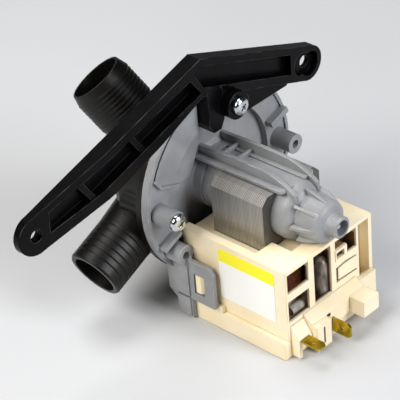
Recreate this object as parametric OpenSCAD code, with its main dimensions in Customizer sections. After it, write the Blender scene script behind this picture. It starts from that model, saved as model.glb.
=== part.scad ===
// Washer drain pump: pump chamber, synchronous motor and mounting bracket.
// Millimetres. The origin lies midway between the two bracket holes on the back face of the bracket.
// +X runs along the rotor axis towards the terminals, +Z is up.

/* [Bracket] */
// Distance of the left ear hole from the rotor axis, sideways
ear_left_y = -94.7; // [-100:0.1:-90]
// Height of the left ear hole above the rotor axis
ear_left_z = 25; // [23:0.1:27]
// Distance of the right ear hole from the rotor axis, sideways
ear_right_y = 49; // [47:0.1:52]
// Height of the right ear hole above the rotor axis
ear_right_z = 27.6; // [26:0.1:29]
// Radius of the holes in the ears
ear_hole_r = 2.5; // [2:0.1:3]
// Radius of the left ear
ear_left_r = 7.6; // [7:0.1:8.4]
// Radius of the right ear
ear_right_r = 7.2; // [6.6:0.1:7.8]
// Height of the bend of the bar above the rotor axis
bend_z = 57.7; // [55:0.1:60]
// Depth of the channel bar
bar_depth = 6.5; // [5.5:0.1:8]
// Floor of the channel bar
bar_floor = 2; // [1.6:0.1:2.6]
// Width of the rims along the channel
bar_rim = 3; // [2.4:0.1:3.4]
// Width of the upper rim along the left arm, near the bend
left_rim = 4.8; // [4.2:0.1:5.2]

/* [Flange] */
// Radius of the motor flange
flange_r = 39.6; // [39.2:0.1:41]
// Thickness of the flange rim
flange_t = 2.6; // [2:0.1:3.4]
// Width of the ring between the screw bosses and the sunk middle
recess_margin = 1.6; // [1:0.1:2.2]
// Depth of the sunk middle of the flange
recess_depth = 3; // [2.4:0.1:3.6]
// Distance of the screw bosses from the edge of the flange
boss_inset = 6; // [5.6:0.1:6.4]
// Radius of the screw bosses
boss_r = 4; // [3.6:0.1:4.2]
// Length of the screw bosses
boss_len = 9.6; // [8.4:0.1:10]
// Radius of the screw shanks
screw_r = 1.5; // [1.2:0.05:1.8]
// Radius of the screw heads
head_r = 3.6; // [3.2:0.1:4]
// Height of the screw heads
head_h = 2.5; // [2:0.1:3]

/* [Rotor well] */
// Outer radius of the rotor well
well_r = 11.9; // [11.6:0.1:12.2]
// Wall of the rotor well
well_wall = 1.3; // [1:0.1:1.6]
// Radius of the nose tube
nose_r = 4.3; // [4:0.1:4.8]
// Reach of the nose tube beyond the end of the coil cover
nose_reach = 7; // [5:0.1:9]
// Height of the two long fins above the rotor axis
fin_top = 16.3; // [15:0.1:18]
// Distance of the long fins from the middle plane
fin_y = 6; // [5:0.1:7]

/* [Rotor] */
// Radius of the shaft
shaft_r = 2; // [1.6:0.05:2.3]
// Radius of the magnet
magnet_r = 9.6; // [9.2:0.1:9.8]
// Radius of the impeller
impeller_r = 25; // [22:0.1:27]
// Number of impeller vanes
vane_count = 4; // [3:1:6]
// Thickness of the impeller vanes
vane_t = 2; // [1.4:0.1:2.6]

/* [Pump chamber] */
// Depth of the chamber behind the flange
chamber_depth = 26.4; // [25.4:0.1:28]
// Wall of the chamber
chamber_wall = 3; // [2.6:0.1:3.4]
// Outer radius of the outlet spigot
outlet_r = 11.3; // [10.8:0.1:11.8]
// Wall of the outlet spigot
outlet_wall = 2.2; // [1.8:0.1:2.6]
// Distance of the outlet mouth from the rotor axis
outlet_reach = 59; // [55:0.5:64]
// Slope of the outlet below level
outlet_drop = 24.2; // [20:0.1:28]
// Outer radius of the inlet spigot
inlet_r = 12.6; // [12.2:0.1:13]
// Wall of the inlet spigot
inlet_wall = 2.1; // [1.8:0.1:2.4]
// Length of the inlet from its elbow
inlet_reach = 40.4; // [38:0.1:44]
// Lean of the inlet away from the motor
inlet_lean = 29.7; // [27:0.1:33]
// Sideways slant of the inlet
inlet_slant = 22.8; // [19:0.1:27]

/* [Stator and coils] */
// Thickness of the lamination stack
stack_len = 25.6; // [24:0.1:26.4]
// Half width across the two poles
pole_out = 16; // [15.6:0.1:16.4]
// Half width of the window between the legs
leg_in = 6; // [5.8:0.1:6.4]
// Height of the poles above the rotor axis
pole_top = 10.5; // [9.6:0.1:10.7]
// Wire thickness of the drawn outer layer of the windings
wire_d = 0.6; // [0.5:0.02:0.62]

/* [Coil cover and base] */
// Half width of the coil cover
cover_half_w = 24.7; // [24.2:0.1:24.8]
// Distance of the end of the coil cover from the flange
cover_end = 54; // [53:0.1:56]
// Wall of the coil cover
cover_wall = 1.6; // [1.3:0.1:1.7]
// Height of the base
base_h = 7.7; // [7.2:0.1:8.6]
// Ledge of the base on the label side
base_ledge = 2; // [1.6:0.1:2.4]
// Width of the upright terminal
tab_upright_w = 6.3; // [6:0.1:6.6]
// Width of the flat terminal
tab_flat_w = 4.8; // [4.5:0.1:5.2]
// Thickness of both terminals
tab_t = 0.8; // [0.6:0.1:1]

/* [Hidden] */
$fn = 64;

// clearances
bracket_gap = 0.3;
seat_gap = 0.1;
press_gap = 0.02;
run_gap = 0.04;
hole_gap = 0.2;
thread_gap = 0.04;

// rotor axis seen from the middle of the bracket holes
axis_y = -(ear_left_y + ear_right_y) / 2;
axis_z = -(ear_left_z + ear_right_z) / 2;

// screw places: angle from level, distance from the axis
top_angle = 87;
side_angle = 33;
boss_ring_r = flange_r - boss_inset;
side_ring_r = (cover_half_w + boss_r + seat_gap) / cos(side_angle);
inner_ring_r = min(boss_ring_r, side_ring_r);
screw_hole_r = screw_r + hole_gap;
thread_r = screw_r + thread_gap;
screw_tip = -14;

// flange and its plug
plug_floor = 2.6;
plug_r = inner_ring_r - screw_hole_r - 0.3;
recess_r = inner_ring_r - boss_r - recess_margin;
plug_back = -recess_depth - plug_floor;
seal_wire_r = 1;
seal_r = plug_r - 0.8;
seal_x = -flange_t - 1.6;
rim_lip = 0.8;
latch_y1 = -cover_half_w - base_ledge - 0.3;
latch_y0 = latch_y1 - 1.8;

side_boss_len = boss_len - 1.8;
collar_floor = 1.6;
collar_wall = 1.4;
collar_r = boss_r + hole_gap + collar_wall;
collar_end = boss_len + hole_gap + collar_floor;

// rotor well along the axis
well_in_r = well_r - well_wall;
shoulder_x = cover_end - 14.6;
step_x = cover_end - 6.4;
cap_x = cover_end + 0.2;
nose_end = cover_end + nose_reach;
cap_r = well_r - 3;
pocket_r = cap_r - 2.2;
well_floor_x = shoulder_x + 2.9;
pocket_end = cap_x - 1.6;
nose_hole_r = shaft_r + 1.1;
fin_t = 1.6;
fin_end = cover_end - 8.4;
foot_end = cover_end - 13.3;

// rotor along the axis
holder_end = 5;
washer_t = 0.8;
rotor_start = holder_end + 0.4 + washer_t + 0.4;
rotor_end = well_floor_x - 0.4 - washer_t - 0.4;
carrier_disc = 2;
carrier_r = shaft_r + 2.4;
shaft_start = plug_back - 15.2;
shaft_end = nose_end - 1.2;
bearing_r = shaft_r + 2;

// impeller along the axis
hub_front = plug_back - 2.2;
hub_wall = 3.6;
dog_room_len = 8.8;
dog_room_x0 = hub_front - hub_wall - dog_room_len;
dog_mouth = 5;
dog_room_x1 = hub_front - hub_wall;
hub_back = dog_room_x0 - 2;
dog_room_r = shaft_r + 3.9;
hub_r = dog_room_r + 2;
dog_ring_r = shaft_r + 1.5;
dog_wing_r = dog_room_r - 0.3;
dog_half = 25;
vane_x0 = hub_back;
vane_x1 = hub_front - 1.6;

// pump chamber
rim_front = -flange_t - seat_gap;
rim_back = rim_front - 3.4;
chamber_in_r = plug_r + seat_gap;
chamber_out_r = chamber_in_r + chamber_wall;
chamber_back = -chamber_depth - chamber_wall;
outlet_x = -chamber_depth / 2 - 3.8;
chamber_bevel = 8;
elbow_x = chamber_back - 2.6;
inlet_off = [2.3, -2.2];
inlet_seat = 14;
eye_r = inlet_r - inlet_wall - 0.8;
outlet_bore_r = outlet_r - outlet_wall;
inlet_bore_r = inlet_r - inlet_wall;
rib_rise = 0.35;
rib_step = 1.85;
rib_count = 8;
inlet_tip = 3.2;
outlet_root = 0.9;
groove_depth = 0.3;
groove_step = 2.7;
groove_count = 6;
outlet_seat = 40.4;

// stator and coils
stack_end = cover_end - 17.3;
stack_start = stack_end - stack_len;
stator_bore_r = well_r + 0.3;
leg_w = pole_out - leg_in;
floor_z = -well_r - 0.5;
floor_t = 1.4;
coil_top = floor_z - floor_t - 0.2;
bobbin_disc = 1;
bobbin_wall = 0.9;
coil_h = 19;
coil_bottom = coil_top - coil_h;
yoke_top = coil_bottom - 0.2;
yoke_h = 13;
yoke_bottom = yoke_top - yoke_h;
leg_mid = (pole_out + leg_in) / 2;
horn_y = fin_y + fin_t / 2 + 0.3;
core_room = min(leg_in - 0.3 - 0.4, cover_half_w - cover_wall - pole_out - 0.6);
core_wall = core_room - hole_gap - bobbin_wall - wire_d;
bobbin_out_x = stack_len / 2 + hole_gap + bobbin_wall;
bobbin_out_y = leg_w / 2 + hole_gap + bobbin_wall;
core_out_x = bobbin_out_x + core_wall;
core_out_y = bobbin_out_y + core_wall;
stack_mid = (stack_start + stack_end) / 2;
loops = 14;
loop_rings = 24;
wire_sides = 6;
wire_room = coil_h - 2 * bobbin_disc - wire_d - 0.4;
pitch = wire_room / loops;

// coil cover and base
cover_start = stack_mid - core_out_x - wire_d - 1.2 - cover_wall;
cover_top = -9.5;
notch_x = cover_end - 7.6;
notch_y = well_r + 0.3;
trough_y = cover_half_w - 3.6;
base_top = yoke_bottom + 5.8;
base_bottom = base_top - base_h;
base_front = cover_end + 4.2;
base_side = -cover_half_w - base_ledge;
shelf_back = base_top + 7.8;
shelf_front = base_top + 4.8;
shelf_low = base_top + 1.4;
window_low = shelf_back + 0.4;
blade_side = -23.3;
yoke_room = 0.2;
tab_front = base_front + 8.8;
tab_flat_y = -20.4;
tab_flat_z = shelf_low - tab_t / 2 - 0.1;
tab_upright_y = -4.3;
tab_upright_z = shelf_front - 3.4 - tab_upright_w / 2;
tab_in = base_front - 9;
window_top = cover_top - 1.6;
window_right = 15.6;
window_back = 3;
window_front = 4;
blade_hole_r = 0.8;
flat_hole_back = 4.4;
upright_hole_back = 4;
clip_y0 = 3.2;
clip_y1 = 9.9;
clip_z0 = -20;
clip_z1 = -15.3;
clip_depth = 6.4;
channel_y0 = 16.9;
channel_depth = 5.4;
tongue_y0 = 3.6;
tongue_y1 = 15.3;
tongue_z0 = -29.9;
tongue_z1 = -23;
tongue_slot = 1.1;
post_y0 = -16.2;
post_y1 = -8.1;
slit_y = -12.1;

function arc(cx, cy, r, a0, a1, n) =
    [for (i = [0:n]) let (a = a0 + (a1 - a0) * i / n) [cx + r * cos(a), cy + r * sin(a)]];

module placed() {
    translate([-bracket_gap, axis_y, axis_z]) children();
}

module box(x0, x1, y0, y1, z0, z1) {
    translate([x0, y0, z0]) cube([x1 - x0, y1 - y0, z1 - z0]);
}

// outline (distance from axis, x) turned round the rotor axis
module turned(outline) {
    rotate([0, 90, 0]) rotate_extrude() polygon(outline);
}

module rod(r, x0, x1) {
    translate([x0, 0, 0]) rotate([0, 90, 0]) cylinder(r = r, h = x1 - x0);
}

module ring(r_in, r_out, x0, x1) {
    difference() {
        rod(r_out, x0, x1);
        rod(r_in, x0 - 1, x1 + 1);
    }
}

// outline (y, z) with thickness along x
module plate_x(x0, x1, outline) {
    translate([x0, 0, 0]) rotate([90, 0, 90]) linear_extrude(height = x1 - x0) polygon(outline);
}

// outline (x, z) with thickness along y
module plate_y(y0, y1, outline) {
    translate([0, y1, 0]) rotate([90, 0, 0]) linear_extrude(height = y1 - y0) polygon(outline);
}

// outline (x, y) with thickness along z
module plate_z(z0, z1, outline) {
    translate([0, 0, z0]) linear_extrude(height = z1 - z0) polygon(outline);
}

module at_angle(a, r) {
    translate([0, r * cos(a), r * sin(a)]) children();
}

module screw_places() {
    at_angle(180, boss_ring_r) children();
    at_angle(-side_angle, side_ring_r) children();
    at_angle(top_angle, boss_ring_r) children();
}

// pump chamber with inlet and outlet
module to_outlet() {
    translate([outlet_x, 0, 0]) rotate([90 + outlet_drop, 0, 0]) children();
}

module to_inlet() {
    translate([elbow_x, inlet_off[0], inlet_off[1]]) rotate([inlet_slant, 0, 0]) rotate([0,
        -inlet_lean, 0]) children();
}

// inlet spigot with a row of fine ribs and a bevelled tip
module inlet_spigot() {
    core_r = inlet_r - rib_rise;
    first = inlet_reach - inlet_tip - rib_count * rib_step;
    ribs = [for (i = [0:rib_count - 1]) let (s = first + i * rib_step)
        each [[core_r, s], [inlet_r, s + 0.15], [inlet_r, s + rib_step * 0.4], [core_r,
            s + rib_step * 0.9]]];
    rotate_extrude() polygon(concat([[0, 0], [core_r, 0]], ribs,
        [[core_r, inlet_reach - inlet_tip], [core_r - 0.9, inlet_reach], [0, inlet_reach]]));
}

// outlet spigot with a stout root and shallow grooves
module outlet_spigot() {
    root_r = outlet_r + outlet_root;
    first = outlet_reach - 4 - (groove_count - 1) * groove_step;
    grooves = [for (i = [0:groove_count - 1]) let (s = first + i * groove_step)
        each [[outlet_r, s - 0.3], [outlet_r - groove_depth, s], [outlet_r, s + 0.3]]];
    rotate_extrude() polygon(concat([[0, 0], [root_r, 0], [root_r, outlet_seat - 12], [outlet_r,
        outlet_seat]], grooves,
        [[outlet_r, outlet_reach - 0.8], [outlet_r - 0.5, outlet_reach], [0, outlet_reach]]));
}

module volute_body() {
    color("#1b1c1f") placed() difference() {
        union() {
            turned([[0, chamber_back], [chamber_out_r - chamber_bevel, chamber_back],
                [chamber_out_r - 2, chamber_back + chamber_bevel - 2], [chamber_out_r,
                    chamber_back + chamber_bevel + 2],
                [chamber_out_r, rim_back - 1.4], [flange_r - 1, rim_back], [flange_r + 0.2, rim_back + 0.8],
                [flange_r + 0.2, rim_front], [0, rim_front]]);
            to_outlet() outlet_spigot();
            to_inlet() inlet_spigot();
            translate([elbow_x, inlet_off[0], inlet_off[1]]) sphere(r = inlet_r - rib_rise + 0.3);
            rod(eye_r + inlet_wall, elbow_x - inlet_wall, chamber_back + 1);
            screw_places() rod(boss_r + 0.4, screw_tip - 2, rim_front);
            for (a = [150, 190, 230, 270, 310]) {
                rotate([a, 0, 0]) box(chamber_back + chamber_bevel, rim_front - 1, -0.8, 0.8,
                    chamber_out_r - 1, flange_r - 1.4);
            }
        }
        turned([[0, -chamber_depth], [chamber_in_r - chamber_bevel, -chamber_depth],
            [chamber_in_r, -chamber_depth + chamber_bevel], [chamber_in_r, rim_front + 1], [0,
                rim_front + 1]]);
        to_outlet() translate([0, 0, chamber_in_r - 12]) cylinder(r = outlet_bore_r - 0.3, h = 14);
        to_outlet() translate([0, 0, chamber_in_r + 0.6]) cylinder(r = outlet_bore_r, h = outlet_reach);
        to_inlet() cylinder(r = inlet_bore_r - 0.4, h = inlet_seat + 1);
        to_inlet() translate([0, 0, inlet_seat]) cylinder(r = inlet_bore_r, h = inlet_reach);
        translate([elbow_x, inlet_off[0], inlet_off[1]]) sphere(r = inlet_bore_r - 0.2);
        rod(eye_r, elbow_x, -chamber_depth + 1);
        screw_places() rod(thread_r, screw_tip - 0.6, rim_front + 1);
    }
}

// mounting bracket
bend_y = -11.6;
bar_slope = 0.299;
bar_top_left = [ear_left_y + 9.7, bar_top(ear_left_y + 9.7)];
left_taper = 5.2;
right_taper = 1.5;
ear_wall = 2.1;
rib_t = 2.4;
ear_left = [ear_left_y, ear_left_z];
ear_right = [ear_right_y, ear_right_z];
low_mid = [-58, bend_z - 32.6];
low_knee = [-35, bend_z - 25.2];
low_bend = [-11.5, bend_z - 15.7];
finger_y0 = -9.5;
finger_y1 = -1.5;
notch_top = plug_r - 0.6;

// height of the upper edge along the left arm
function bar_top(y) = bend_z - bar_slope * (bend_y - y);

// ends of the straight runs, just under the skin of the two ears
function on_ear(centre, r, a) = [centre[0] + (r - 0.06) * cos(a), centre[1] + (r - 0.06) * sin(a)];

function bar_outline(d) = [
    [bend_y, bend_z - d * 1.05],
    on_ear(ear_right, ear_right_r - d, 70),
    on_ear(ear_right, ear_right_r - d, 250),
    [low_bend[0], low_bend[1] + d * 1.05],
    [low_knee[0], low_knee[1] + d * 1.05],
    [low_mid[0], low_mid[1] + d * 1.05],
    on_ear(ear_left, ear_left_r - d, 285),
    on_ear(ear_left, ear_left_r - d, 100),
    [bar_top_left[0], bar_top_left[1] - d * 1.05]];

module ear_hole(p) {
    translate([0, p[0], p[1]]) rod(ear_hole_r, -1, bar_depth + 3);
}

// wall across the channel
module bar_rib(y, z, lean, len) {
    translate([bar_floor - 0.5, y, z]) rotate([lean, 0, 0])
        translate([0, -rib_t / 2, -len / 2]) cube([bar_depth - bar_floor - 0.7, rib_t, len]);
}

module mounting_bracket() {
    top_boss = [boss_ring_r * cos(top_angle), boss_ring_r * sin(top_angle)];
    left_pocket = [[ear_left_y + 6.4, bar_top(ear_left_y + 6.4) - bar_rim], [bend_y - 6,
        bar_top(bend_y - 6) - left_rim],
        [low_bend[0] - 0.8, low_bend[1] + 1.8], [low_knee[0] - 2, low_knee[1] + left_rim - 0.6],
        [low_mid[0] - 8, low_mid[1] + left_rim - 2], [ear_left_y + 6, ear_left_z - 1.6]];
    right_pocket = [[bend_y - 4, bend_z - bar_rim - 1.3], [bend_y - 1, bend_z - bar_rim + 0.2],
        [ear_right_y - 10.8, ear_right_z - bar_rim + 11.6], [ear_right_y - 11.2, ear_right_z + 0.1],
        [low_bend[0] + 0.3, low_bend[1] + 3.6]];
    ear_in = ear_right_r - ear_wall;
    color("#1a1b1e") translate([0, axis_y, axis_z]) difference() {
        union() {
            difference() {
                union() {
                    plate_x(0, bar_depth, bar_outline(0));
                    translate([0, ear_left[0], ear_left[1]]) rod(ear_left_r, 0, bar_depth);
                    translate([0, ear_right[0], ear_right[1]]) rod(ear_right_r, 0, bar_depth);
                }
                plate_x(bar_floor, bar_depth + 1, left_pocket);
                plate_x(bar_floor, bar_depth + 1, right_pocket);
                translate([0, ear_right_y, ear_right_z]) rod(ear_in, bar_floor, bar_depth + 1);
                translate([0, ear_right_y, ear_right_z]) rotate([-21, 0, 0]) translate([0, -4.9, 0])
                    rod(ear_in - 0.4, bar_floor, bar_depth + 1.3);
                translate([0, ear_right_y, ear_right_z]) rotate([-21, 0, 0])
                    box(bar_floor, bar_depth + 1.6, -4.6, 1, -ear_in + 0.9, ear_in - 0.9);
                translate([bar_depth, ear_left_y + 32.7, 0]) rotate([0, 0, -left_taper]) box(0, 9, -60,
                    0, 0, bend_z + 5);
                translate([bar_depth, bend_y, 0]) rotate([0, 0, right_taper]) box(0, 9, 0, 90, 0,
                    bend_z + 5);
            }
            bar_rib(bend_y - 33.8, bend_z - 19.6, 34, 12.4);
            bar_rib(bend_y - 59.3, bend_z - 26.6, 34, 11.4);
            plate_x(0, bar_floor + 0.6, [[-10, bend_z - 14], [ear_right_y - 11, ear_right_z - 2],
                [ear_right_y - 11, ear_right_z - 5.4], [15, ear_right_z - 5.6], [-2, ear_right_z + 1]]);
            translate([-bracket_gap, top_boss[0], top_boss[1]]) rod(collar_r, bracket_gap, collar_end);
            difference() {
                plate_x(-recess_depth + 0.3, bar_depth, [[finger_y0, recess_r], [finger_y0 + 2,
                    recess_r - 3.6],
                    [finger_y1 - 2, recess_r - 3.6], [finger_y1, recess_r], [finger_y1, bend_z - 16.4],
                        [finger_y0, bend_z - 13.4]]);
                box(-9, 0, -20, 10, notch_top - 0.4, 60);
            }
        }
        translate([-bracket_gap, top_boss[0], top_boss[1]]) rod(boss_r + hole_gap, -1, boss_len + hole_gap);
        translate([-bracket_gap, top_boss[0], top_boss[1]]) rod(screw_hole_r, 0, collar_end + 1);
        translate([-bracket_gap, 0, 0]) ring(flange_r - 1.7, flange_r + 0.5, -9, rim_lip + bracket_gap);
        ear_hole(ear_left);
        ear_hole(ear_right);
    }
}

// grey flange with the rotor well
module boss(len) {
    rod(boss_r, -flange_t + 0.4, len);
}

module latch() {
    plate_y(latch_y0, latch_y1, [[-flange_t + 0.2, -18], [7.4, -18], [9, -20.6], [18.6, -20.6], [20.8,
        -22.8],
        [20.8, base_top + 2], [9, base_top + 2], [9, base_bottom + 0.8], [1.5, base_bottom + 0.8],
        [1.5, base_bottom + 7], [-flange_t + 0.2, base_bottom + 10]]);
    box(-flange_t + 0.2, 0, latch_y0, latch_y0 + 6, -34, -18);
    box(-flange_t + 0.4, 8.4, latch_y0 - 0.7, latch_y0 + 0.5, base_bottom + 11, -21);
    box(2, 8.4, latch_y0 - 0.7, latch_y0 + 0.5, base_bottom + 2, base_bottom + 10);
}

module long_fin(y) {
    plate_y(y - fin_t / 2, y + fin_t / 2, concat([[-recess_depth - 0.5, 6], [-recess_depth - 0.5,
        fin_top - 0.8], [16, fin_top]],
        arc(27, fin_top - 32, 31.8, 90, 56, 8), [[fin_end, 6]]));
}

module foot_fin(side) {
    outline = concat([[-recess_depth - 0.5, 3], [-recess_depth - 0.5, 9.8], [foot_end - 2, 9.4]],
        arc(foot_end - 2, 7.4, 2, 90, 0, 5), [[foot_end, 3]]);
    if (side > 0) {
        plate_z(pole_top + 0.5, pole_top + 1.7, outline);
    }
    else {
        mirror([0, 1, 0]) plate_z(pole_top + 0.5, pole_top + 1.7, outline);
    }
}

// raised sector at the upper left with a skirt that falls towards the well and a lip along its lower edge
module plateau() {
    top = 1;
    sector_r = flange_r - 2.1;
    foot = [[-sector_r * 0.93, sector_r * 0.393], [-sector_r * 0.855, sector_r * 0.288],
        [-sector_r * 0.625, sector_r * 0.205]];
    intersection() {
        turned([[well_r + 1, -recess_depth - 0.5], [sector_r, -recess_depth * 0.5], [sector_r, top],
            [recess_r - 2, top],
            [well_r + 1, -recess_depth + 0.4]]);
        plate_x(-9, 9, concat(foot, [[-well_r - 1.5, foot[2][1] - 3], [finger_y0 - 0.4, well_r],
            [finger_y0 - 0.4, flange_r],
            [-flange_r, flange_r], [-flange_r, foot[0][1]]]));
    }
    for (i = [0:1]) {
        run = foot[i + 1] - foot[i];
        translate([0, foot[i][0], foot[i][1]]) rotate([atan2(run[1], run[0]), 0, 0])
            box(-1.5, top + 0.7, -0.3, norm(run) + 0.3, -0.5, 0.5);
    }
}

module motor_flange() {
    color("#8b8f95") placed() difference() {
        union() {
            turned(concat([[0, plug_back], [plug_r, plug_back], [plug_r, -flange_t], [flange_r, -flange_t],
                [flange_r, rim_lip], [flange_r - 1.4, rim_lip], [flange_r - 1.4, 0], [recess_r, 0],
                [recess_r, -recess_depth], [well_r + 2.2, -recess_depth], [well_r + 0.9,
                    -recess_depth + 1.3],
                [well_r + 0.9, cover_start - 0.8], [well_r, cover_start - 0.6]],
                arc(well_r - 6, shoulder_x + 0.6, 6, 0, 62, 6),
                [[cap_r + 0.2, step_x], [cap_r, step_x + 0.6], [cap_r - 0.5, cap_x - 1]],
                arc(cap_r - 3.5, cap_x - 1, 3, 0, 70, 5),
                [[nose_r + 0.5, cap_x + 2.6], [nose_r, cap_x + 4], [nose_r, nose_end - 0.4],
                [nose_r - 0.4, nose_end], [0, nose_end]]));
            at_angle(180, boss_ring_r) boss(boss_len);
            at_angle(0, boss_ring_r) boss(boss_len);
            at_angle(top_angle, boss_ring_r) boss(boss_len);
            at_angle(180 + side_angle, side_ring_r) boss(side_boss_len);
            at_angle(-side_angle, side_ring_r) boss(side_boss_len);
            for (i = [-3:3]) {
                rotate([i * 45 + 2, 0, 0]) plate_y(-0.6, 0.6, [[step_x - 2.4, 4], [cap_x + 0.6, 4],
                    [cap_x + 0.2, cap_r - 0.6], [step_x + 1.2, cap_r + 1.4], [step_x - 2.4, cap_r + 2.2]]);
            }
            long_fin(-fin_y);
            long_fin(fin_y);
            foot_fin(1);
            foot_fin(-1);
            for (x = [5.4, 12.4]) {
                box(x, x + 1.2, -fin_y, fin_y, 9, fin_top - 2.6);
            }
            latch();
            rotate([203, 0, 0]) box(-1, boss_len - 5.4, recess_r + 0.4, flange_r - 1, -0.7, 0.7);
            rotate([18, 0, 0]) box(-1, 3.4, recess_r + 1, flange_r - 0.6, -1.2, 1.2);
            plateau();
        }
        turned([[0, plug_back - 1], [well_in_r, plug_back - 1], [well_in_r, well_floor_x],
            [pocket_r, well_floor_x], [pocket_r, pocket_end], [nose_hole_r, pocket_end],
            [nose_hole_r, nose_end + 1], [0, nose_end + 1]]);
        screw_places() rod(screw_hole_r, plug_back - 1, boss_len + 1);
        at_angle(0, boss_ring_r) rod(screw_hole_r, 0.6, boss_len + 1);
        at_angle(180 + side_angle, side_ring_r) rod(screw_hole_r, 0.6, boss_len + 1);
        translate([seal_x, 0, 0]) ring(seal_r - seal_wire_r - 0.1, plug_r + 1, -seal_wire_r - 0.1,
            seal_wire_r + 0.1);
        box(10.8, 16.2, latch_y0 - 1, latch_y1 + 1, base_top + 5.4, -25.8);
        box(-recess_depth, 5, finger_y0 - 0.4, finger_y1 + 0.4, recess_r - 5, notch_top);
    }
}

module chamber_seal() {
    color("#202022") placed() translate([seal_x, 0, 0]) rotate([0, 90, 0]) rotate_extrude()
        translate([seal_r - 0.1, 0]) circle(r = seal_wire_r - 0.08, $fn = 32);
}

// rotor: shaft, magnet on its carrier, dog that drives the impeller
module rotor_shaft() {
    color("#c3c6ca") placed() union() {
        rod(shaft_r, shaft_start, shaft_end - shaft_r);
        translate([shaft_end - shaft_r, 0, 0]) sphere(r = shaft_r);
    }
}

module magnet_carrier() {
    color("#d8d4c8") placed() difference() {
        union() {
            rod(carrier_r, rotor_start, rotor_end);
            rod(magnet_r - 0.4, rotor_start, rotor_start + carrier_disc);
            rod(magnet_r - 0.4, rotor_end - carrier_disc, rotor_end);
        }
        rod(shaft_r + press_gap, rotor_start - 1, rotor_end + 1);
    }
}

module magnet() {
    color("#3a3a3e") placed() ring(carrier_r + press_gap, magnet_r,
        rotor_start + carrier_disc + press_gap, rotor_end - carrier_disc - press_gap);
}

module thrust_washers() {
    color("#e8e4d8") placed() union() {
        ring(shaft_r + press_gap, shaft_r + 2.2, rotor_start - 0.02 - washer_t, rotor_start - 0.02);
        ring(shaft_r + press_gap, shaft_r + 2.2, rotor_end + 0.02, rotor_end + 0.02 + washer_t);
    }
}

// sector of a ring between two radii, half angle given, pointing along +z
module wing(r_in, r_out, half, x0, x1) {
    plate_x(x0, x1, concat(arc(0, 0, r_out, 90 - half, 90 + half, 8), arc(0, 0, r_in, 90 + half,
        90 - half, 8)));
}

module drive_dog() {
    color("#d8d4c8") placed() difference() {
        union() {
            rod(dog_ring_r, dog_room_x0 + 0.4, dog_room_x1 - 0.4);
            wing(dog_ring_r - 0.5, dog_wing_r, dog_half, dog_room_x0 + 0.4, dog_room_x1 - 0.4);
        }
        rod(shaft_r + press_gap, dog_room_x0 - 1, dog_room_x1 + 1);
    }
}

module impeller() {
    color("#e6e3da") placed() difference() {
        union() {
            rod(hub_r, hub_back, hub_front);
            rod(impeller_r, vane_x1 - 0.4, hub_front);
            for (i = [0:vane_count - 1]) {
                rotate([i * 360 / vane_count, 0, 0]) plate_y(-vane_t / 2, vane_t / 2, [[vane_x0, hub_r - 1],
                    [vane_x0, impeller_r * 0.62], [vane_x0 + 4.5, impeller_r], [vane_x1, impeller_r],
                        [vane_x1, hub_r - 1]]);
            }
        }
        difference() {
            rod(dog_room_r, dog_room_x0 - dog_mouth, dog_room_x1);
            mirror([0, 0, 1]) wing(dog_ring_r + 0.25, dog_room_r + 1, dog_half, dog_room_x0,
                dog_room_x1 + 0.5);
        }
        rod(shaft_r + run_gap, dog_room_x1 - 1, hub_front + 1);
    }
}

module impeller_cap() {
    color("#e6e3da") placed() difference() {
        union() {
            rod(dog_room_r - press_gap, hub_back - 0.6, dog_room_x0 - press_gap);
            translate([hub_back - 0.6, 0, 0]) rotate([0, -90, 0]) cylinder(r1 = dog_room_r + 1.2,
                r2 = 3, h = 2.4);
        }
        rod(shaft_r + run_gap, shaft_start - 0.4, dog_room_x0 + 1);
    }
}

// bearings, holder and seal in the well
module front_bearing() {
    color("#9a7b52") placed() ring(shaft_r + run_gap, bearing_r, -1.6, holder_end);
}

module bearing_holder() {
    color("#55585c") placed() difference() {
        union() {
            rod(well_in_r - seat_gap, plug_back, holder_end - 0.6);
            rod(well_in_r - 4, plug_back, holder_end);
        }
        rod(bearing_r + press_gap, -1.6 - press_gap, holder_end + 1);
        rod(shaft_r + 0.8, plug_back - 1, holder_end);
        rod(bearing_r + 2 + press_gap, plug_back - 1, plug_back + 2.6);
    }
}

module shaft_seal() {
    color("#26262a") placed() turned([[shaft_r + run_gap, plug_back + 1.2], [shaft_r + 1.2,
        plug_back + 0.2],
        [bearing_r + 2, plug_back + 0.2], [bearing_r + 2, plug_back + 2.5], [shaft_r + 1.4,
            plug_back + 2.5],
        [shaft_r + 1, plug_back + 1.6], [shaft_r + run_gap, plug_back + 1.6]]);
}

module rear_bearing() {
    color("#9a7b52") placed() ring(shaft_r + run_gap, bearing_r, well_floor_x + 0.6, pocket_end - 0.8);
}

module rear_grommet() {
    color("#242428") placed() ring(bearing_r + press_gap, pocket_r - press_gap, well_floor_x + 0.4,
        pocket_end - 0.4);
}

// stator: laminated legs with poles beside the well, yoke under the coils
module stator_core() {
    chamfer = 3;
    color("#85807a") placed() difference() {
        plate_x(stack_start, stack_end, [[-pole_out, yoke_bottom], [pole_out, yoke_bottom],
            [pole_out, pole_top - chamfer], [pole_out - chamfer, pole_top], [horn_y, pole_top], [horn_y, 0],
            [leg_in, 0], [leg_in, yoke_top], [-leg_in, yoke_top], [-leg_in, 0], [-horn_y, 0], [-horn_y,
                pole_top],
            [-pole_out + chamfer, pole_top], [-pole_out, pole_top - chamfer]]);
        rod(stator_bore_r, stack_start - 1, stack_end + 1);
    }
}

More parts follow.
